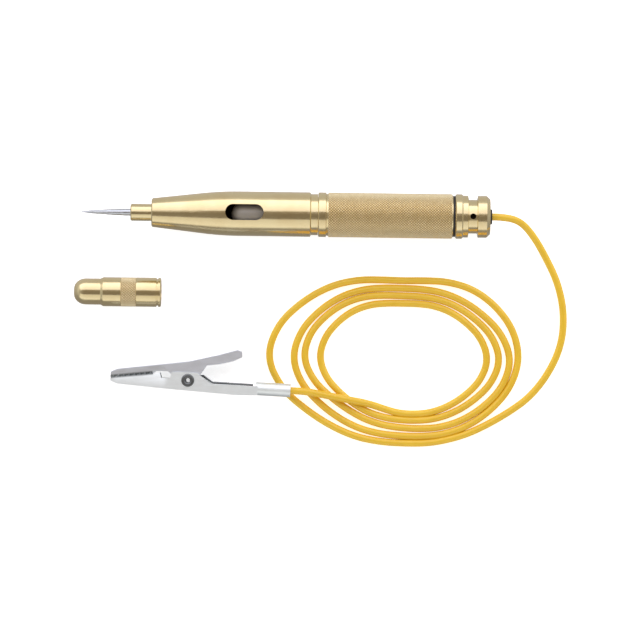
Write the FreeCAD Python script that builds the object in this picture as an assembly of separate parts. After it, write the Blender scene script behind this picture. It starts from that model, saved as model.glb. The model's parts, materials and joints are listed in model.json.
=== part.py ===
import FreeCAD, Part
import math
import os

from FreeCAD import Placement, Rotation, Vector

# Circuit test light: a turned brass probe holding a small bulb, with a trailing lead that ends in
# an alligator clip, and a loose brass cap for the needle. Millimetres. The tester's axis is X, from
# the needle (-X) to the lead (+X); the origin is the nose shoulder that the needle's collar stands on.
# Everything lies on one table plane, TABLE_Z.

# Driving dimensions -----------------------------------------------------------------------------
BODY_R = 6.55                 # polished and knurled body
TABLE_Z = -BODY_R
RUNNING_FIT = 0.05            # radial clearance where one piece slides or turns in another
EDGE = 0.3                    # small turned chamfer

NEEDLE_TIP_X, NEEDLE_R = -20.8, 1.0
COLLAR_LENGTH, COLLAR_R = 6.2, 2.5
STEM_LENGTH, STEM_R = 8.9, 2.0

NOSE_FACE_R, NOSE_SLOPE = 4.25, 0.115
NOSE_CONE_END = 15.0
NOSE_END = 48.8               # parting between nose and rear barrel
NOSE_GROOVE_LENGTH, NOSE_GROOVE_R = 2.0, 6.05
THREAD_LENGTH, THREAD_R = 6.0, 5.2
NOSE_BORE_R, NOSE_BORE_START = 4.4, 19.5
WINDOW_START, WINDOW_END, WINDOW_WIDTH, WINDOW_ANGLE = 21.7, 32.9, 4.7, 3.3

SEAT_START, SEAT_END = 34.8, 38.75
GLASS_TIP, GLASS_R, GLASS_WALL = 23.3, 3.4, 0.4
BULB_BASE_START, BULB_BASE_END, BULB_BASE_R = 34.8, 42.2, 3.5
STEM_FACE, CONTACT_PIN_R = 31.6, 0.55

BARREL_END = 88.4
SLEEVE_START, SLEEVE_END = 57.25, 79.0
SLEEVE_BORE_R = 3.15
PLUNGER_TIP, PISTON_START, PISTON_END = 43.5, 63.6, 66.6
PLUNGER_R = 1.5
CUP_R = 1.3                   # solder cup of the lead's terminal
SPRING_END = 77.0
SPRING_MEAN_R, SPRING_WIRE_R, SPRING_TURNS = 2.45, 0.3, 7

LOCK_RING_START, LOCK_RING_END = 89.1, 91.3
CAP_START, END_CAP_END = 80.5, 99.3
END_CAP_R, WAIST_R, WAIST_START, WAIST_END = 6.15, 4.95, 92.8, 95.7
TOMMY_HOLE_D, TOMMY_HOLE_DEPTH = 1.7, 2.2
FERRULE_BORE_R, GROMMET_R, GROMMET_START = 2.4, 1.75, 92.6

LEAD_R = 1.05
CORE_R = 0.7
CORE_START, LEAD_INNER_START = 79.6, 83.0
LEAD_EXIT_X = 99.9
LEAD_TABLE_Z = TABLE_Z + LEAD_R

COVER_AXIS_Y, COVER_R = -23.4, 4.3
COVER_CLOSED_X, COVER_OPEN_X = -22.6, 3.0

EAR_HALF, RIVET_HEAD = 3.9, 0.4
SHEET = 0.6
CLIP_X, CLIP_Y, CLIP_ANGLE = 11.26, -49.09, -2.64
CLIP_Z = TABLE_Z + EAR_HALF + RIVET_HEAD
PIVOT_R = 1.3
JAW_TIP_U, TEETH_END_U, TAIL_END_U = -22.8, -10.4, 30.2
TIP_V, TEETH_END_V = -0.2, 1.6
TAIL_V, BARREL_R = -1.3, 1.95
CRIMP_START = 20.6            # where the tail's channel ends and the rolled barrel grips the lead
TOOTH_PITCH, TOOTH_DEPTH, TOOTH_GAP = 1.55, 0.7, 0.15
POCKET_END_U = 32.3

COIL_X, COIL_Y, COIL_A, COIL_B = 72.3, -43.1, 39.0, 26.6
COIL_HOLE_X, COIL_HOLE_Y, COIL_HOLE_A, COIL_HOLE_B = 75.0, -41.7, 23.0, 14.6
COIL_HEIGHT = 2.5 * 2 * LEAD_R

# The lead's route from the end cap to the coil, chosen by hand.
LEAD_ROUTE = [
    (LEAD_EXIT_X, 0.0, 0.0),
    (104.0, 0.0, 0.0),
    (108.6, -1.3, -1.9),
    (112.6, -5.7, -4.3),
    (116.2, -11.8, LEAD_TABLE_Z),
    (119.7, -18.9, LEAD_TABLE_Z),
    (121.7, -27.6, LEAD_TABLE_Z),
    (121.2, -37.0, LEAD_TABLE_Z),
    (117.5, -45.6, LEAD_TABLE_Z),
    (112.0, -52.8, LEAD_TABLE_Z),
    (105.6, -57.5, LEAD_TABLE_Z),
    (98.4, -61.7, LEAD_TABLE_Z),
]
LARGE = 100.0                 # longer than anything it cuts


# Helpers ----------------------------------------------------------------------------------------
def turned(outline):
    """A solid turned about X. The outline is (x, r) points; ("arc", middle, end) rounds a stretch."""
    def at(point):
        return Vector(point[0], 0, point[1])
    edges = []
    here = outline[0]
    for step in outline[1:] + [outline[0]]:
        if step[0] == "arc":
            edges.append(Part.Arc(at(here), at(step[1]), at(step[2])).toShape())
            here = step[2]
        else:
            edges.append(Part.LineSegment(at(here), at(step)).toShape())
            here = step
    return Part.Face(Part.Wire(edges)).revolve(Vector(0, 0, 0), Vector(1, 0, 0), 360)


def dome_middle(edge, tip):
    """The middle of a spherical cap's outline, from its (x, r) edge to its tip on the axis."""
    height = tip - edge[0]
    radius = (edge[1] ** 2 + height ** 2) / (2 * height)
    centre = tip - radius
    half_angle = math.atan2(edge[1], edge[0] - centre) / 2
    return centre + radius * math.cos(half_angle), radius * math.sin(half_angle)


def ring(start, end, outer, inner):
    return turned([(start, inner), (start, outer), (end, outer), (end, inner)])


def rod(start, end, radius):
    return Part.makeCylinder(radius, end - start, Vector(start, 0, 0), Vector(1, 0, 0))


def sweep(path_edges, radius):
    """A round section along a path that starts along its first edge's tangent."""
    path = Part.Wire(path_edges)
    first = path_edges[0]
    start = first.valueAt(first.FirstParameter)
    direction = first.tangentAt(first.FirstParameter)
    section = Part.Wire(Part.makeCircle(radius, start, direction))
    return path.makePipeShell([section], True, False)


def routed_tube(points, radius, name):
    """Straight runs joined by the largest arcs that they have room for, as one tube."""
    stops = [Vector(*p) for p in points]
    edges = []
    radii = []
    here = stops[0]
    for before, corner, after in zip(stops, stops[1:], stops[2:]):
        back, ahead = before - corner, after - corner
        half_turn = (math.pi - back.getAngle(ahead)) / 2
        trim = 0.45 * min(back.Length, ahead.Length)
        radii.append(trim / math.tan(half_turn))
        enter = corner + Vector(back).normalize() * trim
        leave = corner + Vector(ahead).normalize() * trim
        bisector = (Vector(back).normalize() + Vector(ahead).normalize()).normalize()
        depth = radii[-1] * (1 / math.cos(half_turn) - 1)
        edges.append(Part.LineSegment(here, enter).toShape())
        edges.append(Part.Arc(enter, corner + bisector * depth, leave).toShape())
        here = leave
    edges.append(Part.LineSegment(here, stops[-1]).toShape())
    tube = sweep(edges, radius)
    length = sum(edge.Length for edge in edges)
    print(name, "arc radii:", [round(r, 1) for r in radii])
    print(name, "length %.1f mm, volume %.1f, section times length %.1f"
          % (length, tube.Volume, math.pi * radius ** 2 * length))
    return tube


def clip_placed(shape):
    """From the clip's own frame (pivot at the origin, u along X to the tail) to where it lies."""
    lies = Placement(Vector(CLIP_X, CLIP_Y, CLIP_Z), Rotation(Vector(0, 0, 1), CLIP_ANGLE))
    placed = shape.copy()
    placed.Placement = lies.multiply(shape.Placement)
    return placed


def side_plate(outline, half_width):
    """A closed (u, v) outline extruded to both sides of the clip's middle plane."""
    corners = [Vector(u, v, -half_width) for u, v in outline]
    face = Part.Face(Part.makePolygon(corners + corners[:1]))
    return face.extrude(Vector(0, 0, 2 * half_width))


def width_limits(widths, inset=0.0):
    """A block whose half width along the clip follows (u, half width) pairs."""
    near = [Vector(u, -LARGE / 2, half - inset) for u, half in widths]
    far = [Vector(u, -LARGE / 2, inset - half) for u, half in reversed(widths)]
    face = Part.Face(Part.makePolygon(near + far + near[:1]))
    return face.extrude(Vector(0, LARGE, 0))


def export(name, shape):
    shape.exportStep("parts/" + name + ".step")


# Probe and nose ---------------------------------------------------------------------------------
def probe_needle():
    inner_end = 3.0
    return turned([(NEEDLE_TIP_X, 0), (NEEDLE_TIP_X + 0.2, 0.12), (-17.5, 0.5), (-12.5, 0.8),
                   (-8.0, NEEDLE_R), (inner_end, NEEDLE_R), (inner_end, 0)])


def probe_spigot():
    front = -COLLAR_LENGTH
    needle_depth = 3.0
    return turned([(front, NEEDLE_R), (front, COLLAR_R - EDGE), (front + EDGE, COLLAR_R), (0, COLLAR_R),
                   (0, STEM_R), (STEM_LENGTH, STEM_R), (STEM_LENGTH, 0), (needle_depth, 0),
                   (needle_depth, NEEDLE_R)])


def window_cutter():
    """A slot with round ends through one side of the nose, as a solid to cut away."""
    half = WINDOW_WIDTH / 2
    start, end = WINDOW_START + half, WINDOW_END - half
    depth = 2 * BODY_R
    block = Part.makeBox(end - start, WINDOW_WIDTH, depth, Vector(start, -half, 0))
    for x in (start, end):
        block = block.fuse(Part.makeCylinder(half, depth, Vector(x, 0, 0)))
    block.rotate(Vector(0, 0, 0), Vector(1, 0, 0), -WINDOW_ANGLE)
    return block


def nose_barrel():
    cone_end_r = NOSE_FACE_R + NOSE_SLOPE * (NOSE_CONE_END - EDGE)
    turn = math.atan(NOSE_SLOPE)
    arc_r = (BODY_R - cone_end_r) / (1 - math.cos(turn))
    arc_end = NOSE_CONE_END + arc_r * math.sin(turn)
    arc_middle = (arc_end - arc_r * math.sin(turn / 2), BODY_R - arc_r * (1 - math.cos(turn / 2)))
    groove = NOSE_END - NOSE_GROOVE_LENGTH
    thread_end = NOSE_END + THREAD_LENGTH
    outline = [(0, STEM_R), (0, NOSE_FACE_R - EDGE), (EDGE, NOSE_FACE_R), (NOSE_CONE_END, cone_end_r),
               ("arc", arc_middle, (arc_end, BODY_R)), (groove - EDGE, BODY_R),
               (groove, NOSE_GROOVE_R), (NOSE_END, NOSE_GROOVE_R), (NOSE_END, THREAD_R),
               (thread_end, THREAD_R), (thread_end, NOSE_BORE_R), (NOSE_BORE_START, NOSE_BORE_R),
               (NOSE_BORE_START - 2, 0), (STEM_LENGTH + 1, 0), (STEM_LENGTH, STEM_R)]
    return turned(outline).cut(window_cutter())


def lamp_seat():
    return ring(SEAT_START, SEAT_END, NOSE_BORE_R, BULB_BASE_R + RUNNING_FIT)


# Bulb -------------------------------------------------------------------------------------------
def bulb_glass():
    """A hollow round-ended envelope with a neck that sits in the base."""
    neck_r, neck_end = 3.0, 37.0
    centre, shoulder = GLASS_TIP + GLASS_R, BULB_BASE_START - 0.1
    inner_r, neck_bore_r = GLASS_R - GLASS_WALL, neck_r - GLASS_WALL

    def quarter_middle(radius):
        return centre - radius * math.sqrt(0.5), radius * math.sqrt(0.5)

    return turned([(GLASS_TIP, 0), ("arc", quarter_middle(GLASS_R), (centre, GLASS_R)),
                   (shoulder, GLASS_R), (shoulder, neck_r), (neck_end, neck_r), (neck_end, neck_bore_r),
                   (shoulder - GLASS_WALL, neck_bore_r), (shoulder - GLASS_WALL, inner_r),
                   (centre, inner_r), ("arc", quarter_middle(inner_r), (GLASS_TIP + GLASS_WALL, 0))])


def bulb_stem():
    neck, flare, rim, end = (33.4, 1.4), (36.0, 2.0), (37.0, 2.6), 37.6
    return turned([(STEM_FACE, 0), (STEM_FACE, 1.2), neck, flare, rim, (end, rim[1]), (end, 0)])


def bulb_filament():
    """Two posts out of the glass stem with the wire across them."""
    front, post_y, post_r, wire_r = 28.6, 0.8, 0.13, 0.2
    across = Part.makeCylinder(wire_r, 2 * post_y, Vector(front, -post_y, 0), Vector(0, 1, 0))
    for y in (-post_y, post_y):
        post = Part.makeCylinder(post_r, STEM_FACE - front, Vector(front, y, 0), Vector(1, 0, 0))
        across = across.fuse(post)
    return across


def bulb_base():
    flange_start, flange_end, flange_r = SEAT_END + 0.05, 39.6, 4.1
    bore_r, floor, hole_r = 3.05, 41.6, 1.6
    return turned([(BULB_BASE_START, bore_r), (BULB_BASE_START, BULB_BASE_R), (flange_start, BULB_BASE_R),
                   (flange_start, flange_r), (flange_end, flange_r), (flange_end, BULB_BASE_R),
                   (BULB_BASE_END, BULB_BASE_R), (BULB_BASE_END, hole_r), (floor, hole_r),
                   (floor, bore_r)])


def bulb_insulator():
    return ring(BULB_BASE_END - 0.5, BULB_BASE_END + 0.5, 1.6, CONTACT_PIN_R)


def bulb_contact():
    pin_start, back, dome_r = 41.2, BULB_BASE_END + 0.5, 1.1
    return turned([(pin_start, 0), (pin_start, CONTACT_PIN_R), (back, CONTACT_PIN_R), (back, dome_r),
                   ("arc", dome_middle((back, dome_r), PLUNGER_TIP), (PLUNGER_TIP, 0))])


# Contact train in the rear barrel ---------------------------------------------------------------
def contact_plunger():
    return turned([(PLUNGER_TIP, 0), (PLUNGER_TIP, PLUNGER_R - EDGE), (PLUNGER_TIP + EDGE, PLUNGER_R),
                   (PISTON_START, PLUNGER_R), (PISTON_START, SLEEVE_BORE_R - RUNNING_FIT),
                   (PISTON_END, SLEEVE_BORE_R - RUNNING_FIT), (PISTON_END, 0)])


def contact_spring():
    """A plain compression spring between the piston and the terminal."""
    start, end = PISTON_END + SPRING_WIRE_R, SPRING_END - SPRING_WIRE_R
    pitch = (end - start) / SPRING_TURNS
    helix = Part.makeHelix(pitch, end - start, SPRING_MEAN_R)
    coil = sweep(helix.Edges, SPRING_WIRE_R)
    coil.Placement = Placement(Vector(start, 0, 0), Rotation(Vector(0, 1, 0), 90))
    return coil


def insulating_sleeve():
    front_wall, seat_r = 1.15, 4.0
    seat_start = SPRING_END
    return turned([(SLEEVE_START, PLUNGER_R + RUNNING_FIT), (SLEEVE_START, THREAD_R),
                   (SLEEVE_END, THREAD_R), (SLEEVE_END, seat_r), (seat_start, seat_r),
                   (seat_start, SLEEVE_BORE_R), (SLEEVE_START + front_wall, SLEEVE_BORE_R),
                   (SLEEVE_START + front_wall, PLUNGER_R + RUNNING_FIT)])


def lead_terminal():
    boss_start, boss_r, flange_r, flange_end, cup_end = 75.2, 1.8, 3.95, 78.0, 81.8
    return turned([(boss_start, 0), (boss_start, boss_r), (SPRING_END, boss_r), (SPRING_END, flange_r),
                   (flange_end, flange_r), (flange_end, CUP_R), (cup_end, CUP_R), (cup_end, CORE_R + 0.05),
                   (CORE_START, CORE_R + 0.05), (CORE_START, 0)])


def insulating_washer():
    flange_end, wide_end, flange_r, hole_r = 78.0, 80.4, 3.95, CUP_R + 0.05
    return turned([(flange_end, hole_r), (flange_end, flange_r), (SLEEVE_END, flange_r),
                   (SLEEVE_END, THREAD_R - 0.05), (wide_end, THREAD_R - 0.05), (wide_end, hole_r)])


def rear_barrel():
    front = NOSE_END + 0.05
    land_end, groove_end, knurl_start = front + 2.3, front + 2.7, front + 3.0
    thread_bore = THREAD_R + RUNNING_FIT
    shoulder_start, shoulder_r = 55.6, 4.5
    return turned([(front, thread_bore), (front, BODY_R - 0.2), (front + 0.2, BODY_R),
                   (land_end, BODY_R), (land_end + 0.1, BODY_R - 0.35), (groove_end, BODY_R - 0.35),
                   (knurl_start, BODY_R), (BARREL_END - EDGE, BODY_R), (BARREL_END, BODY_R - EDGE),
                   (BARREL_END, THREAD_R), (SLEEVE_START, THREAD_R), (SLEEVE_START, shoulder_r),
                   (shoulder_start, shoulder_r), (shoulder_start, thread_bore)])


# End of the tester ------------------------------------------------------------------------------
def seal_washer():
    return ring(BARREL_END + 0.05, LOCK_RING_START - 0.05, 6.0, THREAD_R)


def lock_ring():
    return turned([(LOCK_RING_START, THREAD_R), (LOCK_RING_START, BODY_R - EDGE),
                   (LOCK_RING_START + EDGE, BODY_R), (LOCK_RING_END - EDGE, BODY_R),
                   (LOCK_RING_END, BODY_R - EDGE), (LOCK_RING_END, THREAD_R)])


def end_cap():
    """A threaded spigot with a flange, a turned waist with two tommy holes, and a chamfered end."""
    ease, chamfer = 0.25, 1.0
    body = turned([(CAP_START, FERRULE_BORE_R), (CAP_START, THREAD_R - 0.05),
                   (LOCK_RING_END, THREAD_R - 0.05), (LOCK_RING_END, END_CAP_R),
                   (WAIST_START, END_CAP_R), (WAIST_START + ease, WAIST_R),
                   (WAIST_END - ease, WAIST_R), (WAIST_END, END_CAP_R),
                   (END_CAP_END - chamfer, END_CAP_R), (END_CAP_END, END_CAP_R - chamfer),
                   (END_CAP_END, GROMMET_R), (GROMMET_START, GROMMET_R),
                   (GROMMET_START, FERRULE_BORE_R)])
    middle = (WAIST_START + WAIST_END) / 2
    for side in (1, -1):
        floor = Vector(middle, 0, side * (WAIST_R - TOMMY_HOLE_DEPTH))
        body = body.cut(Part.makeCylinder(TOMMY_HOLE_D / 2, 2 * TOMMY_HOLE_DEPTH, floor,
                                          Vector(0, 0, side)))
    return body


def cable_grommet():
    lip_r, hole_r = 2.2, LEAD_R + 0.02
    return turned([(GROMMET_START, hole_r), (GROMMET_START, GROMMET_R), (END_CAP_END, GROMMET_R),
                   (END_CAP_END, lip_r), (LEAD_EXIT_X, lip_r - 0.2), (LEAD_EXIT_X, hole_r)])


def lead_core():
    return rod(CORE_START, LEAD_INNER_START, CORE_R)


def lead_inner():
    return rod(LEAD_INNER_START, LEAD_EXIT_X, LEAD_R)


def lead_ferrule():
    start, end, outer_r = 85.0, 88.0, 1.9
    return ring(start, end, outer_r, LEAD_R)


# Lead -------------------------------------------------------------------------------------------
def lead_run():
    return routed_tube(LEAD_ROUTE, LEAD_R, "lead_run")


def oval(x, y, a, b, height):
    """An upright cylinder with an elliptical section, standing on the table."""
    ellipse = Part.Ellipse(Vector(x, y, TABLE_Z), a, b)
    return Part.Face(Part.Wire(ellipse.toShape())).extrude(Vector(0, 0, height))


def lead_coil():
    """The outer shape of the loose turns, open where the run joins it and where the clip lies on it."""
    coil = oval(COIL_X, COIL_Y, COIL_A, COIL_B, COIL_HEIGHT)
    coil = coil.cut(oval(COIL_HOLE_X, COIL_HOLE_Y, COIL_HOLE_A, COIL_HOLE_B, COIL_HEIGHT))
    end, before = Vector(*LEAD_ROUTE[-1]), Vector(*LEAD_ROUTE[-2])
    slit_half, slit_length = LEAD_R + 0.6, 24.0
    slit = Part.makeBox(slit_length, 2 * slit_half, LARGE, Vector(0, -slit_half, -LARGE / 2))
    heading = math.degrees(math.atan2(before.y - end.y, before.x - end.x))
    slit.Placement = Placement(end, Rotation(Vector(0, 0, 1), heading))
    clear_side, clear_below = 3.0, 0.15
    pocket = Part.makeBox(LARGE, 2 * clear_side, LARGE,
                          Vector(POCKET_END_U - LARGE, TAIL_V - clear_side, -BARREL_R - clear_below))
    return coil.cut(slit).cut(clip_placed(pocket))


def lead_tail():
    tail = rod(CRIMP_START, POCKET_END_U, LEAD_R)
    tail.translate(Vector(0, TAIL_V, 0))
    return clip_placed(tail)


# Alligator clip, in its own frame ---------------------------------------------------------------
def teeth(lift, reverse=False):
    """The zigzag between the jaws, raised or lowered by lift."""
    count = round((TEETH_END_U - JAW_TIP_U) / TOOTH_PITCH)
    slope = (TEETH_END_V - TIP_V) / (TEETH_END_U - JAW_TIP_U)
    points = []
    for i in range(2 * count + 1):
        u = JAW_TIP_U + (TEETH_END_U - JAW_TIP_U) * i / (2 * count)
        crest = TOOTH_DEPTH / 2 if i % 2 else -TOOTH_DEPTH / 2
        points.append((u, TIP_V + slope * (u - JAW_TIP_U) + crest + lift))
    return points[::-1] if reverse else points


def sheet_jaw(outline, widths, inner_side):
    """A folded sheet jaw: side walls under the width limits, and a spine away from inner_side."""
    outer = side_plate(outline, LARGE / 4).common(width_limits(widths))
    hollow = side_plate([(u, v + inner_side * SHEET) for u, v in outline], LARGE / 4)
    hollow = hollow.fuse(side_plate([(u, v + inner_side * (SHEET + 4)) for u, v in outline], LARGE / 4))
    return outer.cut(hollow.common(width_limits(widths, SHEET)))


def clip_lower_jaw():
    """The fixed jaw: teeth, a notch, the pivot ears, and a tail rolled into a barrel round the lead."""
    front_widths = [(JAW_TIP_U, 1.95), (-7.0, EAR_HALF), (8.0, EAR_HALF), (15.5, BARREL_R),
                    (CRIMP_START, BARREL_R)]
    notch_start, notch_end, notch_v, notch_lean = -8.3, -4.8, 0.3, 0.5
    outline = teeth(-TOOTH_GAP / 2) + [(notch_start, 1.75), (notch_start + notch_lean, notch_v),
                                       (notch_end - notch_lean, notch_v), (notch_end, 2.1),
                                       (-2.6, 2.3), (2.6, 2.3), (3.7, 1.55), (6.85, -0.62),
                                       (CRIMP_START, -0.6), (CRIMP_START, -3.25), (14.8, -3.55),
                                       (-12.0, -2.65), (-20.8, -2.2), (JAW_TIP_U, -1.5)]
    jaw = sheet_jaw(outline, front_widths, 1)
    along = Vector(1, 0, 0)
    start = Vector(CRIMP_START - SHEET, TAIL_V, 0)
    barrel_length = TAIL_END_U - start.x
    barrel = Part.makeCylinder(BARREL_R, barrel_length, start, along)
    barrel = barrel.cut(Part.makeCylinder(LEAD_R, barrel_length, start, along))
    seam = Part.makeBox(barrel_length, BARREL_R, 0.4, start + Vector(0, 0, -0.2))
    jaw = jaw.fuse(barrel.cut(seam))
    hole = Part.makeCylinder(PIVOT_R, LARGE, Vector(0, 0, -LARGE / 2))
    return clip_placed(jaw.cut(hole).removeSplitter())


def clip_upper_jaw():
    """The jaw with the thumb lever, nested between the lower jaw's ears."""
    nested = EAR_HALF - SHEET - 0.2
    widths = [(JAW_TIP_U, 1.95), (-7.0, nested), (16.0, nested)]
    ear_r, ear_steps = 2.05, 8
    ear = []
    for i in range(ear_steps + 1):
        angle = math.radians(-20 - 140 * i / ear_steps)
        ear.append((ear_r * math.cos(angle), ear_r * math.sin(angle)))
    outline = [(JAW_TIP_U, 1.3), (-20.9, 2.25), (-17.4, 2.75), (0, 5.6), (8.8, 8.05), (14.0, 9.8),
               (15.4, 9.3), (15.5, 7.6), (13.0, 6.3), (9.0, 5.2), (5.2, 4.6)] + ear
    outline += [(-6.0, 2.3), (-9.6, 2.1)] + teeth(TOOTH_GAP / 2, reverse=True)
    jaw = sheet_jaw(outline, widths, -1)
    return clip_placed(jaw.cut(Part.makeCylinder(PIVOT_R + RUNNING_FIT, LARGE, Vector(0, 0, -LARGE / 2))))


def clip_pivot_pin():
    """A tubular rivet through both jaws, with a low head on each outer face."""
    head_r, bore_r = 1.9, 0.65
    pin = Part.makeCylinder(PIVOT_R, 2 * EAR_HALF, Vector(0, 0, -EAR_HALF))
    for side in (-1, 1):
        pin = pin.fuse(Part.makeCylinder(head_r, RIVET_HEAD, Vector(0, 0, side * EAR_HALF),
                                         Vector(0, 0, side)))
    bore = Part.makeCylinder(bore_r, LARGE, Vector(0, 0, -LARGE / 2))
    return clip_placed(pin.cut(bore))


def clip_spring():
    """A torsion spring round the pin, with one leg on the lever and one bent down along the tail."""
    wire_r, mean_r, pitch, whole_turns = 0.3, 1.75, 0.65, 4
    lever_rest, tail_rest = (9.0, 7.0), (4.15, 1.72)
    tail_bend, tail_end = (7.2, -0.25), (19.2, -0.25)

    def touch_angle(rest, side):
        reach = math.hypot(*rest)
        return math.atan2(rest[1], rest[0]) + side * math.acos(mean_r / reach)

    start = touch_angle(lever_rest, 1)
    turns = whole_turns + 1 + (touch_angle(tail_rest, -1) - start) / (2 * math.pi)
    height = pitch * turns
    coil = Part.makeHelix(pitch, height, mean_r)
    coil.Placement = Placement(Vector(0, 0, -height / 2), Rotation(Vector(0, 0, 1), math.degrees(start)))
    first, last = coil.Edges[0], coil.Edges[-1]
    top, bottom = first.valueAt(first.FirstParameter), last.valueAt(last.LastParameter)
    inward, outward = first.tangentAt(first.FirstParameter), last.tangentAt(last.LastParameter)
    lever_leg = Part.LineSegment(top - inward * math.dist(lever_rest, (top.x, top.y)), top)
    tail_leg = Part.LineSegment(bottom, bottom + outward * math.dist(tail_rest, (bottom.x, bottom.y)))
    wire = sweep([lever_leg.toShape()] + coil.Edges + [tail_leg.toShape()], wire_r)
    bends = [Vector(u, v, bottom.z) for u, v in (tail_rest, tail_bend, tail_end)]
    for near, far in zip(bends, bends[1:]):
        wire = wire.fuse(Part.makeSphere(wire_r, near))
        wire = wire.fuse(Part.makeCylinder(wire_r, near.distanceToPoint(far), near, far - near))
    return clip_placed(wire)


def clip_core():
    core = rod(CRIMP_START - 4.0, CRIMP_START, CORE_R)
    core.translate(Vector(0, TAIL_V, 0))
    return clip_placed(core)


# Cover ------------------------------------------------------------------------------------------
def cap_shell():
    """The loose needle cover: a bored brass cap that pushes onto the collar."""
    nose_r, nose_end, step_end = 3.85, COVER_CLOSED_X + 7.8, COVER_CLOSED_X + 8.6
    mouth_r, mouth_depth, bore_r, bore_depth = COLLAR_R + 0.03, 7.0, 1.5, 22.5
    bead_start, bead_end, bead_r = COVER_OPEN_X - 1.3, COVER_OPEN_X - 0.9, COVER_R - 0.3
    end = COVER_OPEN_X
    shell = turned([(COVER_CLOSED_X, 0), (COVER_CLOSED_X, 1.2),
                    ("arc", (COVER_CLOSED_X + 0.9, 2.7), (COVER_CLOSED_X + 3.4, nose_r)),
                    (nose_end, nose_r), (step_end, COVER_R), (bead_start, COVER_R),
                    (bead_start, bead_r), (bead_end, bead_r), (bead_end, COVER_R),
                    (end - 0.2, COVER_R), (end, COVER_R - 0.2), (end, mouth_r),
                    (end - mouth_depth, mouth_r), (end - mouth_depth - 0.8, bore_r),
                    (end - bore_depth, bore_r), (end - bore_depth - 0.8, 0)])
    shell.translate(Vector(0, COVER_AXIS_Y, TABLE_Z + COVER_R))
    return shell


SUB_PARTS = [
    probe_needle, probe_spigot, nose_barrel, lamp_seat,
    bulb_glass, bulb_stem, bulb_filament, bulb_base, bulb_insulator, bulb_contact,
    contact_plunger, contact_spring, insulating_sleeve, lead_terminal, insulating_washer,
    rear_barrel, seal_washer, lock_ring, end_cap, cable_grommet, lead_ferrule, lead_core, lead_inner,
    lead_run, lead_coil, lead_tail,
    clip_core, clip_lower_jaw, clip_upper_jaw, clip_pivot_pin, clip_spring,
    cap_shell,
]

os.makedirs("parts", exist_ok=True)
for make in SUB_PARTS:
    export(make.__name__, make())
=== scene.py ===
import json
import math

import bmesh
import bpy
from mathutils import Matrix, Vector


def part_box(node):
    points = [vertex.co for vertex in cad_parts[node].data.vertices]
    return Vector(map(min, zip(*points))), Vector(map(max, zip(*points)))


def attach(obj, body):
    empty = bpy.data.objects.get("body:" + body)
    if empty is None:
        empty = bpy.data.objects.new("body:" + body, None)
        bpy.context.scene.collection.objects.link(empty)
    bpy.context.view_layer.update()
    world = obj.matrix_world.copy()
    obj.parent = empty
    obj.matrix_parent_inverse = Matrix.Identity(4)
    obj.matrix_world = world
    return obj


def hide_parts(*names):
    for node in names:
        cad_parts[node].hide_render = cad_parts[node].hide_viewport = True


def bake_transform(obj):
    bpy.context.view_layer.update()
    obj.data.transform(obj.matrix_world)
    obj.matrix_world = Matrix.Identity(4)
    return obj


# The looks of the circuit test light. Metres, in the frame of the CAD model: +X along the tester to
# the lead, +Z up from the table.

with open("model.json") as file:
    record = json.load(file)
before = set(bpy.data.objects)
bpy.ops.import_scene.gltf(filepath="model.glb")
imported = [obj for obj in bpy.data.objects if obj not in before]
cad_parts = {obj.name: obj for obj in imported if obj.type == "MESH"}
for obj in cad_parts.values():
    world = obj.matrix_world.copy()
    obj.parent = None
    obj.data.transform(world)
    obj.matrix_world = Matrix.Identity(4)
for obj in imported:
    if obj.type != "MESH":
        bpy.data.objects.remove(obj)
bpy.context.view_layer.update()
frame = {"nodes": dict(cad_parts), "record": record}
NODES = frame["nodes"]
MM = 0.001


# Places and sizes read from the frame -------------------------------------------------------------
def span(node, axis):
    """Where a CAD node starts and ends along an axis."""
    low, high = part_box(node)
    return low[axis], high[axis]


def middle(node, axis):
    return sum(span(node, axis)) / 2


BODY_R = span("lock_ring", 2)[1]
TABLE_Z = -BODY_R
BARREL_START, BARREL_END = span("rear_barrel", 0)
SPRING_START, SPRING_END = span("contact_spring", 0)
COVER_CLOSED_X, COVER_OPEN_X = span("cap_shell", 0)
COVER_Y, COVER_Z = middle("cap_shell", 1), middle("cap_shell", 2)
COVER_R = (span("cap_shell", 1)[1] - span("cap_shell", 1)[0]) / 2
PIVOT = Vector([middle("clip_pivot_pin", axis) for axis in range(3)])
LEAD_EXIT_X = span("cable_grommet", 0)[1]
LEAD_D = 2.1 * MM
LEAD_TABLE_Z = TABLE_Z + LEAD_D / 2
CLIP_TURN = math.radians(-2.64)
TEETH_TIP, TEETH_ROOT = (-22.8, -0.2), (-10.4, 1.6)   # ends of the line where the closed teeth meet
# Painted shade: the two bored brass pieces are painted dark inside this radius, between these places along
# X.
NOSE_BORE_R, NOSE_BORE_X = 4.9 * MM, (17.0 * MM, 54.0 * MM)
TOMMY_HOLE_FLOOR_R, TOMMY_HOLE_X = 4.8 * MM, (92.0 * MM, 96.5 * MM)


def clip_point(u, v, z=0.0):
    """A point of the clip: u runs back from the pivot along the jaws, v across them, in millimetres."""
    x = u * math.cos(CLIP_TURN) - v * math.sin(CLIP_TURN)
    y = u * math.sin(CLIP_TURN) + v * math.cos(CLIP_TURN)
    return PIVOT + MM * Vector((x, y, z))


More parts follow.
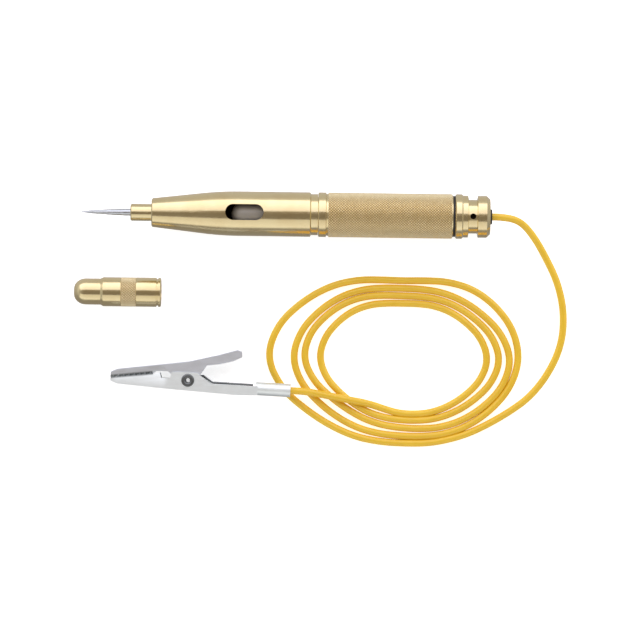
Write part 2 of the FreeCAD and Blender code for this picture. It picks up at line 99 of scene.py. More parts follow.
# Node helpers -------------------------------------------------------------------------------------
class Nodes:
    """A short way to build a material's node tree."""

    def __init__(self, name):
        self.material = bpy.data.materials.new(name)
        self.material.use_nodes = True
        self.tree = self.material.node_tree
        self.shader = self.tree.nodes["Principled BSDF"]
        self.place = self.add("ShaderNodeTexCoord").outputs["Object"]

    def add(self, kind, **values):
        node = self.tree.nodes.new(kind)
        for key, value in values.items():
            setattr(node, key, value)
        return node

    def link(self, source, target):
        self.tree.links.new(source, target)

    def stretched(self, scale):
        """Object coordinates scaled by a vector, for streaks and rings."""
        node = self.add("ShaderNodeVectorMath", operation="MULTIPLY")
        self.link(self.place, node.inputs[0])
        node.inputs[1].default_value = scale
        return node.outputs[0]

    def math(self, operation, first, second):
        node = self.add("ShaderNodeMath", operation=operation, use_clamp=True)
        for socket, value in zip(node.inputs, (first, second)):
            if isinstance(value, bpy.types.NodeSocket):
                self.link(value, socket)
            else:
                socket.default_value = value
        return node.outputs[0]

    def along(self, direction, start=(0, 0, 0)):
        """Distance from a point along a direction."""
        offset = self.add("ShaderNodeVectorMath", operation="SUBTRACT")
        self.link(self.place, offset.inputs[0])
        offset.inputs[1].default_value = start
        node = self.add("ShaderNodeVectorMath", operation="DOT_PRODUCT")
        self.link(offset.outputs[0], node.inputs[0])
        node.inputs[1].default_value = direction
        return node.outputs["Value"]

    def radius(self, axis_y=0.0, axis_z=0.0):
        """Distance from a line along X."""
        offset = self.add("ShaderNodeVectorMath", operation="SUBTRACT")
        self.link(self.place, offset.inputs[0])
        offset.inputs[1].default_value = (0, axis_y, axis_z)
        flat = self.add("ShaderNodeVectorMath", operation="MULTIPLY")
        self.link(offset.outputs[0], flat.inputs[0])
        flat.inputs[1].default_value = (0, 1, 1)
        length = self.add("ShaderNodeVectorMath", operation="LENGTH")
        self.link(flat.outputs[0], length.inputs[0])
        return length.outputs["Value"]

    def noise(self, vector, scale, detail=3.0, roughness=0.55):
        """Noise from 0 to 1, with scale in features per metre of the vector."""
        node = self.add("ShaderNodeTexNoise")
        self.link(vector, node.inputs["Vector"])
        node.inputs["Scale"].default_value = scale
        node.inputs["Detail"].default_value = detail
        node.inputs["Roughness"].default_value = roughness
        return node.outputs["Fac"]

    def ranged(self, value, low, high, to_low, to_high):
        """A value carried over from one range to another, and held at its ends."""
        node = self.add("ShaderNodeMapRange")
        self.link(value, node.inputs["Value"])
        limits = {"From Min": low, "From Max": high, "To Min": to_low, "To Max": to_high}
        for socket, number in limits.items():
            node.inputs[socket].default_value = number
        return node.outputs["Result"]

    def blended(self, factor, first, second):
        """A colour between two colours or colour sockets."""
        node = self.add("ShaderNodeMix", data_type="RGBA")
        self.link(factor, node.inputs["Factor"])
        for socket, colour in ((6, first), (7, second)):
            if isinstance(colour, bpy.types.NodeSocket):
                self.link(colour, node.inputs[socket])
            else:
                node.inputs[socket].default_value = (*colour, 1)
        return node.outputs[2]

    def bump(self, heights):
        """Bumps on each other: (height socket, strength, distance in metres)."""
        normal = None
        for height, strength, distance in heights:
            node = self.add("ShaderNodeBump")
            node.inputs["Strength"].default_value = strength
            node.inputs["Distance"].default_value = distance
            self.link(height, node.inputs["Height"])
            if normal:
                self.link(normal, node.inputs["Normal"])
            normal = node.outputs["Normal"]
        self.link(normal, self.shader.inputs["Normal"])

    def set(self, **values):
        """Fills in the shader's sockets and gives the finished material."""
        for key, value in values.items():
            socket = self.shader.inputs[key.replace("_", " ")]
            if isinstance(value, bpy.types.NodeSocket):
                self.link(value, socket)
            else:
                socket.default_value = (*value, 1) if isinstance(value, tuple) else value
        return self.material


# Materials ----------------------------------------------------------------------------------------
BRASS, BRASS_WARM, BRASS_DIRT = (0.80, 0.68, 0.40), (0.72, 0.56, 0.29), (0.50, 0.38, 0.19)
# The second colour here is painted shade for the insides of bores.
KNURL_BRASS, BORE_PAINTED_SHADE = (0.95, 0.83, 0.56), (0.035, 0.024, 0.014)


def polished_brass(name, roughness=0.15, bore_r=0.0, bore_x=(0.0, 1.0)):
    """Turned brass under lacquer: fine rings, faint tarnish clouds, and painted shade inside bores."""
    n = Nodes(name)
    rings = n.noise(n.stretched((9000, 60, 60)), 1.0, 2.0)
    clouds = n.noise(n.place, 160, 4.0)
    scuffs = n.noise(n.stretched((500, 2600, 2600)), 1.0, 5.0, 0.7)
    n.bump([(rings, 0.16, 0.00002), (scuffs, 0.05, 0.00001)])
    outside = n.blended(n.ranged(clouds, 0.35, 0.75, 0.0, 0.55), BRASS, BRASS_WARM)
    x = n.along((1, 0, 0))
    in_length = n.math("MULTIPLY", n.math("GREATER_THAN", x, bore_x[0]), n.math("LESS_THAN", x, bore_x[1]))
    # Painted shade: the inside of a bore is painted dark in the colour below.
    bore_shade_mask = n.math("MULTIPLY", n.math("LESS_THAN", n.radius(), bore_r), in_length)
    worn = n.ranged(scuffs, 0.3, 0.8, roughness - 0.04, roughness + 0.12)
    return n.set(Base_Color=n.blended(bore_shade_mask, outside, BORE_PAINTED_SHADE), Metallic=1.0,
                 Roughness=n.math("ADD", worn, n.math("MULTIPLY", bore_shade_mask, 0.4)))


def knurled_brass(name, radius, depth, axis_y=0.0, axis_z=0.0):
    """Knurled brass: worn bright on the crests and duller down in the grooves."""
    n = Nodes(name)
    crest = n.ranged(n.radius(axis_y, axis_z), radius - depth, radius - 0.5 * depth, 0.0, 1.0)
    grime = n.noise(n.place, 700, 4.0)
    shade = n.blended(n.ranged(grime, 0.3, 0.7, 0.0, 0.35), KNURL_BRASS, BRASS_WARM)
    n.bump([(n.noise(n.place, 6000, 3.0), 0.15, 0.00002)])
    return n.set(Base_Color=n.blended(crest, BRASS_DIRT, shade), Metallic=1.0,
                 Roughness=n.ranged(crest, 0.0, 1.0, 0.55, 0.42))


def plated_steel(name, colour, roughness, streaks=(300, 4000, 4000)):
    """Drawn or pressed steel: streaks along the work, soft clouds in the plating."""
    n = Nodes(name)
    grain = n.noise(n.stretched(streaks), 1.0, 4.0, 0.6)
    clouds = n.noise(n.place, 260, 4.0)
    dark = tuple(0.72 * c for c in colour)
    n.bump([(grain, 0.10, 0.00001), (clouds, 0.06, 0.00005)])
    return n.set(Base_Color=n.blended(n.ranged(clouds, 0.3, 0.75, 0.0, 0.6), colour, dark), Metallic=1.0,
                 Roughness=n.ranged(grain, 0.3, 0.75, roughness - 0.05, roughness + 0.13))


def jaw_plate(name, colour, roughness):
    """Satin plated sheet, with painted shade along the line where the closed teeth meet."""
    n = Nodes(name)
    grain = n.noise(n.stretched((300, 3000, 3000)), 1.0, 4.0, 0.6)
    clouds = n.noise(n.place, 300, 3.0)
    # Painted shade: a dark band along the closed teeth, where the narrow gap between the jaws lies in
    # shadow.
    tip, root = clip_point(*TEETH_TIP), clip_point(*TEETH_ROOT)
    bite = (root - tip).normalized()
    across = Vector((-bite.y, bite.x, 0))
    near = n.math("ABSOLUTE", n.along(across, tip), 0.0)
    painted_teeth_shade = n.math("MULTIPLY", n.ranged(near, 0.25 * MM, 0.75 * MM, 1.0, 0.0),
                    n.ranged(n.along(bite, root), -0.4 * MM, 0.2 * MM, 1.0, 0.0))
    dull = tuple(0.93 * c for c in colour)
    plate = n.blended(n.ranged(clouds, 0.3, 0.75, 0.0, 0.7), colour, dull)
    n.bump([(grain, 0.08, 0.00001), (clouds, 0.05, 0.00006)])
    # The dark grey colour below is the painted shade of the teeth line.
    return n.set(Base_Color=n.blended(painted_teeth_shade, plate, (0.20, 0.22, 0.225)), Metallic=1.0,
                 Roughness=n.ranged(grain, 0.3, 0.75, roughness - 0.05, roughness + 0.08))


def moulded(name, colour, roughness, coat=0.0):
    """Moulded plastic or rubber: fine grain, a little colour drift."""
    n = Nodes(name)
    grain = n.noise(n.place, 5200, 3.0)
    drift = n.noise(n.place, 120, 3.0)
    dark = tuple(0.8 * c for c in colour)
    n.bump([(grain, 0.12, 0.00002)])
    return n.set(Base_Color=n.blended(n.ranged(drift, 0.3, 0.7, 0.0, 0.7), colour, dark), Coat_Weight=coat,
                 Roughness=n.ranged(grain, 0.3, 0.7, roughness - 0.05, roughness + 0.08))


def lead_pvc(name):
    """Golden yellow soft PVC, faintly mottled, with a soft gloss."""
    n = Nodes(name)
    mottle = n.noise(n.place, 150, 3.0)
    dust = n.noise(n.place, 2400, 4.0, 0.65)
    n.bump([(dust, 0.10, 0.00001)])
    colour = n.blended(n.ranged(mottle, 0.3, 0.7, 0.0, 1.0), (0.93, 0.60, 0.036), (0.87, 0.54, 0.026))
    return n.set(Base_Color=colour, Roughness=n.ranged(dust, 0.3, 0.7, 0.26, 0.42),
                 Coat_Weight=0.3, Coat_Roughness=0.2)


def blown_glass(name):
    """Grey frosted glass, so that the bulb shows against the painted shade in its bore."""
    n = Nodes(name)
    ripple = n.noise(n.place, 380, 2.0)
    n.bump([(ripple, 0.05, 0.00003)])
    return n.set(Base_Color=(0.66, 0.63, 0.58), Roughness=0.12, IOR=1.5, Transmission_Weight=0.35)


def bare_metal(name, colour, roughness):
    """Copper strands, filament wire or solder: small dull clouds and a rough grain."""
    n = Nodes(name)
    grain = n.noise(n.place, 2600, 4.0)
    dark = tuple(0.6 * c for c in colour)
    n.bump([(grain, 0.2, 0.00002)])
    return n.set(Base_Color=n.blended(n.ranged(grain, 0.3, 0.7, 0.0, 0.8), colour, dark), Metallic=1.0,
                 Roughness=n.ranged(grain, 0.3, 0.7, roughness - 0.06, roughness + 0.1))


def floor_paper(name):
    """White studio paper that gives a little light of its own, so that shadows on it stay faint."""
    n = Nodes(name)
    fibre = n.noise(n.place, 900, 5.0)
    n.bump([(fibre, 0.02, 0.00005)])
    return n.set(Base_Color=n.blended(fibre, (0.92, 0.92, 0.92), (0.90, 0.90, 0.90)), Roughness=0.85,
                 Emission_Color=(1.0, 1.0, 1.0), Emission_Strength=0.66)


KNURL_DEPTH = 0.26 * MM
MATERIALS = {
    "polished_brass": polished_brass("polished_brass"),
    "needle_steel": plated_steel("needle_steel", (0.62, 0.65, 0.69), 0.22),
    # Spring steel is coloured dark. The clip spring's tail leg is a real leg, laid along the lower jaw's top
    # edge, and its dark steel also stands in for the shadow line there as painted shade.
    "spring_steel": plated_steel("spring_steel", (0.20, 0.21, 0.215), 0.32),
    "nickel_plate": jaw_plate("nickel_plate", (0.95, 1.0, 1.0), 0.52),
    "bulb_glass": blown_glass("bulb_glass"),
    "bulb_base": polished_brass("bulb_base", 0.32),
    "glass_insulator": moulded("glass_insulator", (0.02, 0.02, 0.022), 0.2, 0.5),
    "filament_wire": bare_metal("filament_wire", (0.22, 0.21, 0.21), 0.4),
    "insulator": moulded("insulator", (0.045, 0.035, 0.028), 0.45),
    "seal_rubber": moulded("seal_rubber", (0.016, 0.015, 0.014), 0.55),
    "lead_pvc": lead_pvc("lead_pvc"),
    "copper": bare_metal("copper", (0.72, 0.33, 0.18), 0.3),
    "solder": bare_metal("solder", (0.5, 0.5, 0.51), 0.38),
    "knurled_brass": knurled_brass("knurled_brass", BODY_R, KNURL_DEPTH),
}
# Painted shade: the upper jaw gets a darker copy of the same nickel plate.
UPPER_JAW_SHADED_PLATE = jaw_plate("upper_jaw_shaded_plate", (0.84, 0.88, 0.94), 0.42)
# The nose and the end cap carry painted shade inside the nose bore and the tommy hole.
NOSE_BRASS = polished_brass("nose_brass", bore_r=NOSE_BORE_R, bore_x=NOSE_BORE_X)
END_CAP_BRASS = polished_brass("end_cap_brass", bore_r=TOMMY_HOLE_FLOOR_R, bore_x=TOMMY_HOLE_X)
COVER_GRIP_START, COVER_GRIP_END = COVER_CLOSED_X + 13.9 * MM, COVER_CLOSED_X + 18.2 * MM
COVER_GRIP_DEPTH = 0.2 * MM
COVER_GRIP_BRASS = knurled_brass("cover_grip_brass", COVER_R, COVER_GRIP_DEPTH, COVER_Y, COVER_Z)
SLOT_OF = {s["node"]: s["material_slot"] for s in frame["record"]["subparts"]}


def finish_node(obj, material):
    obj.data.materials.clear()
    obj.data.materials.append(material)


def paint_cad_nodes():
    """Every CAD node gets its slot's material, and the two bored pieces get one of their own, with painted
    shade inside their bores.
    """
    special = {"nose_barrel": NOSE_BRASS, "end_cap": END_CAP_BRASS}
    for name, obj in NODES.items():
        finish_node(obj, special.get(name, MATERIALS[SLOT_OF[name]]))


# Mesh helpers -------------------------------------------------------------------------------------
def new_piece(name, bm, body, material_slot, *replaced, sharp=32, material=None):
    """A mesh piece from a bmesh, smooth except at sharp edges, riding on a body."""
    mesh = bpy.data.meshes.new(name)
    bm.to_mesh(mesh)
    bm.free()
    mesh.shade_smooth()
    mesh.set_sharp_from_angle(angle=math.radians(sharp))
    obj = bpy.data.objects.new(name, mesh)
    bpy.context.scene.collection.objects.link(obj)
    mesh.materials.append(material or MATERIALS[material_slot])
    if replaced:
        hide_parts(*replaced)
    if body:
        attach(obj, body)
    return obj


def around(radius, angle, centre):
    """A point of a circle, in the circle's own plane."""
    return centre[0] + radius * math.cos(angle), centre[1] + radius * math.sin(angle)


def eased(outline, radius, steps=3):
    """An outline of (x, radius) points with its corners rounded off."""
    points = []
    for i, here in enumerate(outline):
        before, here, after = Vector(outline[i - 1]), Vector(here), Vector(outline[(i + 1) % len(outline)])
        back, on = before - here, after - here
        if here.y < 1e-7 or back.length < 1e-7 or on.length < 1e-7 or back.angle(-on) < math.radians(12):
            points.append(tuple(here))
            continue
        first = here + back.normalized() * min(radius, back.length * 0.45)
        last = here + on.normalized() * min(radius, on.length * 0.45)
        for k in range(steps + 1):
            t = k / steps
            points.append(tuple(first * (1 - t) ** 2 + here * 2 * t * (1 - t) + last * t * t))
    return points


def lathe(bm, outline, segments=128, centre=(0.0, 0.0)):
    """Turns a closed outline of (x, radius) points round a line along X. Points on the line end it."""
    rings = []
    for x, radius in outline:
        if radius < 1e-7:
            rings.append([bm.verts.new((x, *centre))] * segments)
        else:
            rings.append([bm.verts.new((x, *around(radius, 2 * math.pi * k / segments, centre)))
                          for k in range(segments)])
    pairs = list(zip(rings, rings[1:] + rings[:1]))
    for first, second in pairs:
        for k in range(segments):
            corners = [first[k], first[k - 1], second[k - 1], second[k]]
            corners = list(dict.fromkeys(corners))
            if len(corners) > 2:
                bm.faces.new(corners)


def knurl(bm, start, end, radius, depth, count, rows, centre=(0.0, 0.0), crest=0.3):
    """A band of diamond points. Each rises from four shared corners in the grooves to a small flat crest."""
    step = (end - start) / (2 * rows)

    def vertex(i, j, height):
        spot = around(radius - depth * (1 - height), math.pi * i / count, centre)
        return bm.verts.new((start + j * step, *spot))

    corners = {(i, j): vertex(i, j, 0) for j in range(2 * rows + 1) for i in range(j % 2, 2 * count, 2)}
    for j in range(2 * rows + 1):
        for i in range((j + 1) % 2, 2 * count, 2):
            offsets = [(-1, 0), (0, -1), (1, 0), (0, 1)]
            kept = [(di, dj) for di, dj in offsets if 0 <= j + dj <= 2 * rows]
            outer = [corners[((i + di) % (2 * count), j + dj)] for di, dj in kept]
            inner = [vertex(i + crest * di, j + crest * dj, 1) for di, dj in kept]
            bm.faces.new(inner)
            for k in range(len(kept)):
                bm.faces.new([outer[k - 1], outer[k], inner[k], inner[k - 1]])


def tube(bm, path, radius, sides=10):
    """Round wire along a list of points, with flat ends."""
    rings = []
    across = None
    for i, point in enumerate(path):
        ahead = (path[min(i + 1, len(path) - 1)] - path[max(i - 1, 0)]).normalized()
        across = across or ahead.orthogonal().normalized()
        across = (across - ahead * across.dot(ahead)).normalized()
        other = ahead.cross(across)
        rings.append([bm.verts.new(point + radius * (math.cos(a) * across + math.sin(a) * other))
                      for a in (2 * math.pi * k / sides for k in range(sides))])
    for first, second in zip(rings, rings[1:]):
        for k in range(sides):
            bm.faces.new([first[k - 1], first[k], second[k], second[k - 1]])
    bm.faces.new(rings[0][::-1])
    bm.faces.new(rings[-1])


# Tester and cover ---------------------------------------------------------------------------------
def make_rear_barrel():
    """The knurled barrel: a plain front land, a groove, and diamond points to the rear end."""
    bm = bmesh.new()
    front, end, radius = BARREL_START, BARREL_END, BODY_R
    knurl_start, knurl_end = front + 3.0 * MM, end - 0.3 * MM
    under = radius - KNURL_DEPTH - 0.02 * MM
    groove_r, bore_r, shoulder_r = radius - 0.4 * MM, 5.25 * MM, 4.5 * MM
    shoulder_start, sleeve_start = front + 6.75 * MM, front + 8.4 * MM
    outline = [(front, bore_r), (front, radius - 0.25 * MM), (front + 0.25 * MM, radius),
               (front + 2.3 * MM, radius), (front + 2.4 * MM, groove_r), (front + 2.7 * MM, groove_r),
               (knurl_start - 0.02 * MM, under), (knurl_end + 0.02 * MM, under), (end, under - 0.1 * MM),
               (end, bore_r), (sleeve_start, bore_r), (sleeve_start, shoulder_r),
               (shoulder_start, shoulder_r), (shoulder_start, bore_r)]
    lathe(bm, eased(outline, 0.08 * MM))
    new_piece("barrel", bm, "handle", "polished_brass", "rear_barrel")
    grip = bmesh.new()
    knurl(grip, knurl_start, knurl_end, radius, KNURL_DEPTH, count=50, rows=44)
    new_piece("barrel_grip", grip, "handle", "knurled_brass", sharp=20)


def cover_outline():
    """Rounded closed end, a step, a band turned down under the grip, a rolled rim, and the bore."""
    closed, end, radius = COVER_CLOSED_X, COVER_OPEN_X, COVER_R
    nose_r, nose_end, step_end = 3.85 * MM, closed + 7.8 * MM, closed + 8.6 * MM
    band_start, band_end, band_r = COVER_GRIP_START, COVER_GRIP_END, COVER_R - COVER_GRIP_DEPTH
    bead_start, bead_end, bead_r = end - 1.35 * MM, end - 0.85 * MM, radius - 0.35 * MM
    mouth_r, mouth_depth, bore_r, bore_depth = 2.53 * MM, 7.0 * MM, 1.5 * MM, 22.5 * MM
    dome = [(closed + 3.4 * MM * (1 - math.cos(math.radians(a))) ** 0.9,
             nose_r - 2.65 * MM * (1 - math.sin(math.radians(a)))) for a in range(0, 91, 10)]
    return [(closed, 0.0)] + dome + [
        (nose_end, nose_r), (step_end, radius), (band_start - 0.1 * MM, radius),
        (band_start, band_r), (band_end, band_r), (band_end + 0.1 * MM, radius),
        (bead_start, radius), (bead_start, bead_r), (bead_end, bead_r), (bead_end, radius),
        (end - 0.25 * MM, radius), (end, radius - 0.25 * MM), (end, mouth_r),
        (end - mouth_depth, mouth_r), (end - mouth_depth - 0.8 * MM, bore_r),
        (end - bore_depth, bore_r), (end - bore_depth - 0.8 * MM, 0.0)]


def make_cover():
    """The loose needle cover and its knurled grip band."""
    bm = bmesh.new()
    lathe(bm, eased(cover_outline(), 0.1 * MM), 112, (COVER_Y, COVER_Z))
    new_piece("cover", bm, "cap", "polished_brass", "cap_shell")
    grip = bmesh.new()
    knurl(grip, COVER_GRIP_START, COVER_GRIP_END, COVER_R, COVER_GRIP_DEPTH, count=34, rows=5,
          centre=(COVER_Y, COVER_Z))
    new_piece("cover_grip", grip, "cap", "knurled_brass", sharp=20, material=COVER_GRIP_BRASS)


def make_contact_spring():
    """The compression spring, built as one still coil between the ends of the CAD spring."""
    bm = bmesh.new()
    wire_r, turns, steps = 0.3 * MM, 7, 24
    radius = span("contact_spring", 2)[1] - wire_r
    start, length = SPRING_START + wire_r, SPRING_END - SPRING_START - 2 * wire_r
    path = []
    for k in range(turns * steps + 1):
        angle, t = 2 * math.pi * k / steps, k / (turns * steps)
        path.append(Vector((start + length * t, *around(radius, angle, (0, 0)))))
    tube(bm, path, wire_r, 8)
    obj = new_piece("coil_spring", bm, None, "spring_steel", "contact_spring")
    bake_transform(obj)


def clip_spring_path():
    """From the lever, round the pin five times and down along the tail. Its plan is in clip millimetres."""
    mean_r, pitch, steps = 1.75, 0.65, 24
    lever_rest, tail_rest = (9.0, 7.0), (4.15, 1.72)
    # The tail leg runs along the lower jaw's top edge; its dark wire is partly painted shade, standing in
    # for the shadow line there.
    tail_leg = [(4.03, 1.6), (4.3, 1.62), (7.05, -0.15), (7.35, -0.25), (19.2, -0.25)]

    def touch_angle(rest, side):
        return math.atan2(rest[1], rest[0]) + side * math.acos(mean_r / math.hypot(*rest))

    start = touch_angle(lever_rest, 1)
    turns = 5 + (touch_angle(tail_rest, -1) - start) / (2 * math.pi)
    height = pitch * turns
    coil = []
    for k in range(round(turns * steps) + 1):
        t = k / round(turns * steps)
        angle = start + 2 * math.pi * turns * t
        coil.append(clip_point(mean_r * math.cos(angle), mean_r * math.sin(angle), height * (t - 0.5)))
    tail = [clip_point(u, v, height / 2) for u, v in tail_leg]
    return [clip_point(*lever_rest, -height / 2)] + coil + tail


def make_clip_spring():
    """The torsion spring round the pin, from its lever leg to its tail leg."""
    bm = bmesh.new()
    tube(bm, clip_spring_path(), 0.3 * MM, 8)
    obj = new_piece("torsion_spring", bm, None, "spring_steel", "clip_spring")
    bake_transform(obj)


def make_grommet():
    """The black lip that the lead leaves the end cap through."""
    bm = bmesh.new()
    start, end = span("cable_grommet", 0)
    bottom, top = span("cable_grommet", 2)
    face = span("end_cap", 0)[1]
    hole_r, shank_r, lip_r = LEAD_D / 2, 1.74 * MM, (top - bottom) / 2
    outline = [(start, hole_r), (start, shank_r), (face, shank_r),
               (face, lip_r), (end, lip_r), (end, hole_r)]
    lathe(bm, eased(outline, 0.2 * MM), 64)
    new_piece("grommet", bm, "handle", "seal_rubber", "cable_grommet")


def make_pivot_rivet():
    """The tubular rivet: a rolled head on each side, and a bore right through."""
    bm = bmesh.new()
    half = (span("clip_pivot_pin", 2)[1] - span("clip_pivot_pin", 2)[0]) / 2
    head_r, shank_r, bore_r, head = 1.9 * MM, 1.3 * MM, 0.65 * MM, 0.4 * MM
    front = [(half - 0.35 * MM, bore_r), (half - 0.05 * MM, bore_r + 0.35 * MM), (half, bore_r + 0.65 * MM),
             (half - 0.05 * MM, head_r - 0.2 * MM), (half - head + 0.05 * MM, head_r), (half - head, head_r),
             (half - head, shank_r)]
    outline = front + [(-x, r) for x, r in front[::-1]]
    lathe(bm, eased(outline, 0.12 * MM), 48)
    bmesh.ops.rotate(bm, verts=bm.verts, matrix=Matrix.Rotation(math.radians(-90), 3, "Y"))
    bmesh.ops.translate(bm, verts=bm.verts, vec=PIVOT)
    return new_piece("pivot_rivet", bm, "handle", "spring_steel", "clip_pivot_pin")


def make_jaw(name, node, body, plate):
    """A pressed jaw: the CAD sheet with its cut edges eased, so that they catch the light."""
    bm = bmesh.new()
    bm.from_mesh(NODES[node].data)
    bmesh.ops.remove_doubles(bm, verts=bm.verts, dist=0.001 * MM)
    bmesh.ops.dissolve_limit(bm, angle_limit=math.radians(2), verts=bm.verts, edges=bm.edges)
    cut_edge = math.radians(35)
    cut = [e for e in bm.edges if len(e.link_faces) == 2 and e.calc_face_angle(0) > cut_edge]
    bmesh.ops.bevel(bm, geom=cut, offset=0.13 * MM, segments=2, profile=0.5, affect="EDGES",
                    clamp_overlap=True)
    return new_piece(name, bm, body, "nickel_plate", node, sharp=20, material=plate)


# Lead ---------------------------------------------------------------------------------------------
LEAD_ROUTE = [
    (LEAD_EXIT_X, 0.0, 0.0),
    (0.1040, 0.0, 0.0),
    (0.1086, -0.0013, -0.0019),
    (0.1126, -0.0057, -0.0043),
    (0.1162, -0.0118, LEAD_TABLE_Z),
    (0.1197, -0.0189, LEAD_TABLE_Z),
    (0.1217, -0.0276, LEAD_TABLE_Z),
    (0.1212, -0.0370, LEAD_TABLE_Z),
    (0.1175, -0.0456, LEAD_TABLE_Z),
    (0.1120, -0.0528, LEAD_TABLE_Z),
    (0.1056, -0.0575, LEAD_TABLE_Z),
    (0.0984, -0.0617, LEAD_TABLE_Z),
]
COIL_CENTRE = Vector((0.0740, -0.0420))
# How far each loose turn reaches from the centre, in millimetres, at every 45 degrees clockwise from
# straight below, outermost turn first.
TURN_REACHES = [
    (24.7, 28.4, 39.6, 29.8, 22.8, 29.2, 34.6, 27.6),
    (22.6, 25.2, 32.1, 25.5, 20.6, 24.6, 32.2, 25.3),
    (20.2, 21.6, 28.9, 23.2, 18.4, 22.2, 29.0, 22.0),
    (17.9, 19.2, 24.2, 19.9, 16.2, 19.8, 25.4, 19.5),
]
LEAD_IN_REACH, LEAD_OUT_REACH = 30.0, 16.0
POINTS_PER_EIGHTH = 3
SPLINE_ALLOWANCE = 1.008   # the spline runs this much inside its control points
LEAD_OVER_Z = LEAD_TABLE_Z + 2.25 * MM
LEAD_INTO_COIL = [
    (0.0920, -0.0646, LEAD_TABLE_Z),
    (0.0830, -0.0668, LEAD_TABLE_Z),
]
LEAD_TO_CLIP = [
    (0.0735, -0.0581, LEAD_TABLE_Z),
    (0.0698, -0.0571, LEAD_TABLE_Z),
    (0.0662, -0.0559, -0.0051),
    (0.0628, -0.0550, -0.0041),
    (0.0592, -0.0544, LEAD_OVER_Z),
    (0.0545, -0.0535, LEAD_OVER_Z),
    (0.0500, -0.0527, LEAD_OVER_Z),
    (0.0460, -0.0520, -0.0026),
    clip_point(31.0, -1.3),
    clip_point(20.6, -1.3),
]


def between(before, here, after, beyond, t):
    """A value on the smooth curve through four even values, t of the way from the second to the third."""
    return here + 0.5 * t * (after - before + t * (2 * before - 5 * here + 4 * after - beyond
                                                   + t * (3 * (here - after) + beyond - before)))


def coil_points():
    """The loose turns, clockwise from the point below the centre, through the reaches on a smooth curve."""
    reaches = [r for turn in TURN_REACHES for r in turn]
    reaches = [LEAD_IN_REACH] + reaches + [LEAD_OUT_REACH, LEAD_OUT_REACH - 0.2]
    flatness = [1 / r ** 2 for r in reaches]
    points = []
    for i in range(1, len(reaches) - 2):
        for k in range(POINTS_PER_EIGHTH):
            t = k / POINTS_PER_EIGHTH
            angle = math.radians(270 - 45 * (i - 1 + t))
            reach = SPLINE_ALLOWANCE * MM / math.sqrt(between(*flatness[i - 1:i + 3], t))
            points.append((*around(reach, angle, COIL_CENTRE), LEAD_TABLE_Z))
    return points


def make_lead():
    """The lead as one smooth line: down from the end cap, round its loose turns and up into the clip."""
    points = LEAD_ROUTE + LEAD_INTO_COIL + coil_points() + LEAD_TO_CLIP
    curve = bpy.data.curves.new("lead", "CURVE")
    curve.dimensions = "3D"
    curve.resolution_u = 8
    curve.bevel_depth = LEAD_D / 2
    curve.bevel_resolution = 6
    curve.use_fill_caps = True
    spline = curve.splines.new("NURBS")
    spline.points.add(len(points) - 1)
    for point, place in zip(spline.points, points):
        point.co = (*place, 1)
    spline.order_u = 3
    spline.use_endpoint_u = True
    obj = bpy.data.objects.new("lead", curve)
    bpy.context.scene.collection.objects.link(obj)
    curve.materials.append(MATERIALS["lead_pvc"])
    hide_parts("lead_run", "lead_coil", "lead_tail")
    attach(obj, "handle")


# Studio -------------------------------------------------------------------------------------------
CAMERA_HEIGHT, VIEW_WIDTH, CAMERA_ROLL = 1.3, 0.1888, math.radians(0.75)
VIEW_CENTRE = (0.0498, -0.0309)
FLOOR_CENTRE, FLOOR_HALF_WIDTH, FLOOR_GAP = (0.05, -0.03), 1.5, 0.02 * MM


def make_stage():
    """The white floor. Glossy rays miss it, so that the brass mirrors the studio and not the paper."""
    bm = bmesh.new()
    bmesh.ops.create_grid(bm, x_segments=1, y_segments=1, size=FLOOR_HALF_WIDTH)
    mesh = bpy.data.meshes.new("floor")
    bm.to_mesh(mesh)
    bm.free()
    floor = bpy.data.objects.new("floor", mesh)
    floor.location = (*FLOOR_CENTRE, TABLE_Z - FLOOR_GAP)
    bpy.context.scene.collection.objects.link(floor)
    mesh.materials.append(floor_paper("floor_paper"))
    floor.visible_glossy = False


def softbox(name, azimuth, height, distance, size, radiance, colour=(1, 1, 1)):
    """A panel of even light, facing the object from a compass angle and a height angle, in degrees."""
    light = bpy.data.lights.new(name, "AREA")
    light.shape = "RECTANGLE"
    light.size, light.size_y = size
    light.energy = radiance * math.pi * size[0] * size[1]
    light.color = colour
    obj = bpy.data.objects.new(name, light)
    a, h = math.radians(azimuth), math.radians(height)
    away = Vector((math.cos(h) * math.cos(a), math.cos(h) * math.sin(a), math.sin(h)))
    obj.location = Vector((*VIEW_CENTRE, 0)) + distance * away
    obj.rotation_euler = away.to_track_quat("Z", "Y").to_euler()
    bpy.context.scene.collection.objects.link(obj)


def make_lights():
    softbox("back_softbox", azimuth=90, height=44, distance=1.0, size=(2.4, 1.20), radiance=0.92,
            colour=(1.0, 0.985, 1.12))
    softbox("front_softbox", azimuth=270, height=38, distance=1.0, size=(2.4, 0.95), radiance=0.60,
            colour=(1.0, 0.98, 0.97))


# The studio round the table, from the horizon to the ceiling, as (height, colour).
STUDIO_SHADES = [(0.0, (0.47, 0.46, 0.47)), (0.35, (0.70, 0.70, 0.70)), (0.99, (0.27, 0.23, 0.19))]
# Its strength in front of and behind the object, reached where a direction's Y is this far from zero.
STUDIO_FRONT, STUDIO_BACK, STUDIO_DEPTH = 0.68, 1.32, 0.6


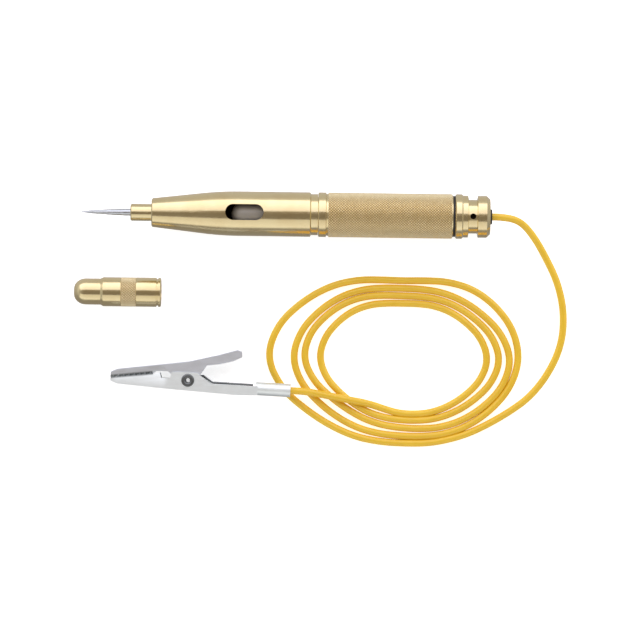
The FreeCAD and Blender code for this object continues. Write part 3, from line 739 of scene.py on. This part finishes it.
def make_studio():
    """The world: pale low down, a dark ceiling, and brighter behind the object than in front."""
    world = bpy.data.worlds.new("studio")
    bpy.context.scene.world = world
    world.use_nodes = True
    nodes, links = world.node_tree.nodes, world.node_tree.links
    background = nodes["Background"]
    split = nodes.new("ShaderNodeSeparateXYZ")
    links.new(nodes.new("ShaderNodeTexCoord").outputs["Generated"], split.inputs[0])
    shade = nodes.new("ShaderNodeValToRGB")
    links.new(split.outputs["Z"], shade.inputs["Fac"])
    shade.color_ramp.elements.new(STUDIO_SHADES[1][0])
    for stop, (height, colour) in zip(shade.color_ramp.elements, STUDIO_SHADES):
        stop.position = height
        stop.color = (*colour, 1)
    links.new(shade.outputs["Color"], background.inputs["Color"])
    depth = nodes.new("ShaderNodeMapRange")
    for name, value in (("From Min", -STUDIO_DEPTH), ("From Max", STUDIO_DEPTH),
                        ("To Min", STUDIO_FRONT), ("To Max", STUDIO_BACK)):
        depth.inputs[name].default_value = value
    links.new(split.outputs["Y"], depth.inputs["Value"])
    links.new(depth.outputs["Result"], background.inputs["Strength"])


def make_camera():
    """Looks straight down, with the width of the view measured on the table."""
    camera = bpy.data.cameras.new("camera")
    camera.sensor_width = 36
    camera.lens = 36 * (CAMERA_HEIGHT - TABLE_Z) / VIEW_WIDTH
    obj = bpy.data.objects.new("camera", camera)
    obj.location = (*VIEW_CENTRE, CAMERA_HEIGHT)
    obj.rotation_euler = (0, 0, CAMERA_ROLL)
    bpy.context.scene.collection.objects.link(obj)
    bpy.context.scene.camera = obj


paint_cad_nodes()
CLIP_PIECES = [make_jaw("lower_jaw", "clip_lower_jaw", "handle", MATERIALS["nickel_plate"]),
               make_jaw("upper_jaw", "clip_upper_jaw", "clip_jaw", UPPER_JAW_SHADED_PLATE),
               make_pivot_rivet(), NODES["clip_core"]]
make_rear_barrel()
make_grommet()
make_cover()
make_contact_spring()
make_clip_spring()
make_lead()
make_stage()
make_lights()
make_studio()
make_camera()
bpy.context.scene.view_settings.view_transform = "Standard"
